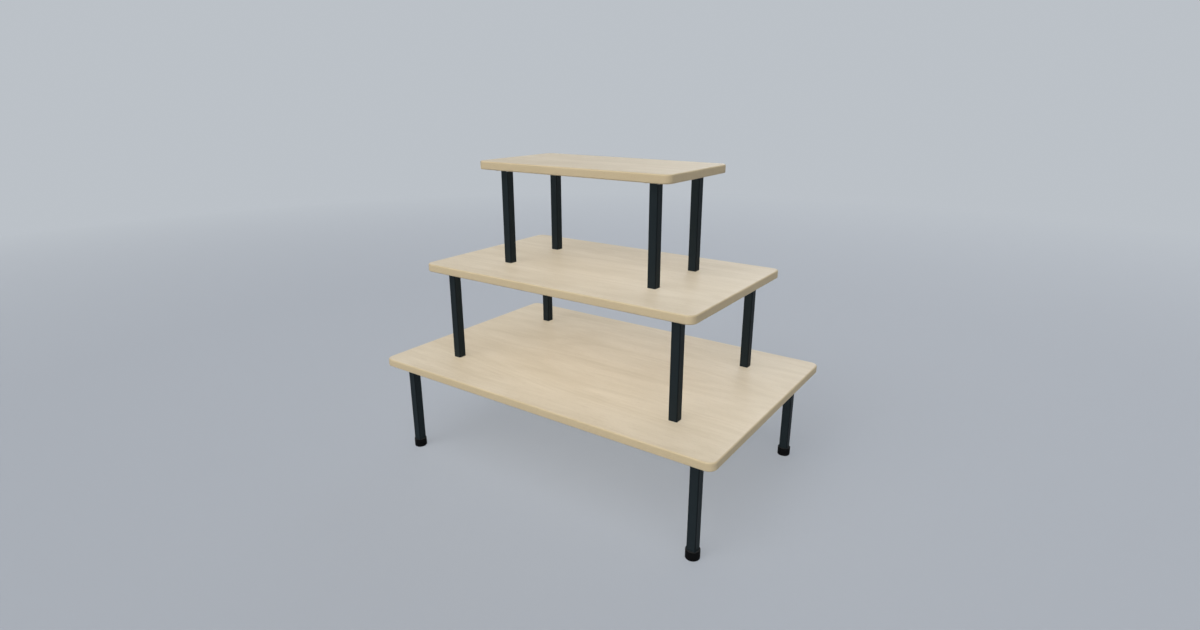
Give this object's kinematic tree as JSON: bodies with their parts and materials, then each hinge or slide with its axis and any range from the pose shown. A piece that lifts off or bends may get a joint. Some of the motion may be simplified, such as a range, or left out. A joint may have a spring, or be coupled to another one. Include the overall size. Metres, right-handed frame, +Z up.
{
  "type": "tiered display table",
  "caption": "Stepped shop display table: rectangular wooden boards with rounded corners, one above the other, on square black steel posts with rubber feet.",
  "frame": {"origin": "on the floor under the middle of the table, in the plane of the soles of its four feet", "axes": "+X along the long sides of the boards, +Y along their short sides from front to back, +Z up"},
  "size_m": [1.22, 0.79, 0.984],
  "materials": {
    "board_wood": "satin lacquer on pale straight-grained wood",
    "post_coat": "satin charcoal powder coat",
    "foot_rubber": "matt black rubber",
    "fastener_steel": "zinc-plated",
    "insert_nylon": "matt black nylon"
  },
  "bodies": {
    "root": {"board_bottom": "board_wood", "leg_front_left": "post_coat", "leg_plate_front_left": "post_coat", "leg_front_right": "post_coat", "leg_plate_front_right": "post_coat", "leg_back_left": "post_coat", "leg_plate_back_left": "post_coat", "leg_back_right": "post_coat", "leg_plate_back_right": "post_coat", "board_middle": "board_wood", "middle_post_front_left": "post_coat", "middle_post_plate_front_left": "post_coat", "middle_post_front_right": "post_coat", "middle_post_plate_front_right": "post_coat", "middle_post_back_left": "post_coat", "middle_post_plate_back_left": "post_coat", "middle_post_back_right": "post_coat", "middle_post_plate_back_right": "post_coat", "board_top": "board_wood", "top_post_front_left": "post_coat", "top_post_plate_front_left": "post_coat", "top_post_front_right": "post_coat", "top_post_plate_front_right": "post_coat", "top_post_back_left": "post_coat", "top_post_plate_back_left": "post_coat", "top_post_back_right": "post_coat", "top_post_plate_back_right": "post_coat", "threaded_inserts_middle": "insert_nylon", "post_bolts_middle": "fastener_steel", "threaded_inserts_top": "insert_nylon", "post_bolts_top": "fastener_steel", "foot_front_left": "foot_rubber", "foot_front_right": "foot_rubber", "foot_back_left": "foot_rubber", "foot_back_right": "foot_rubber"}
  },
  "joints": []
}
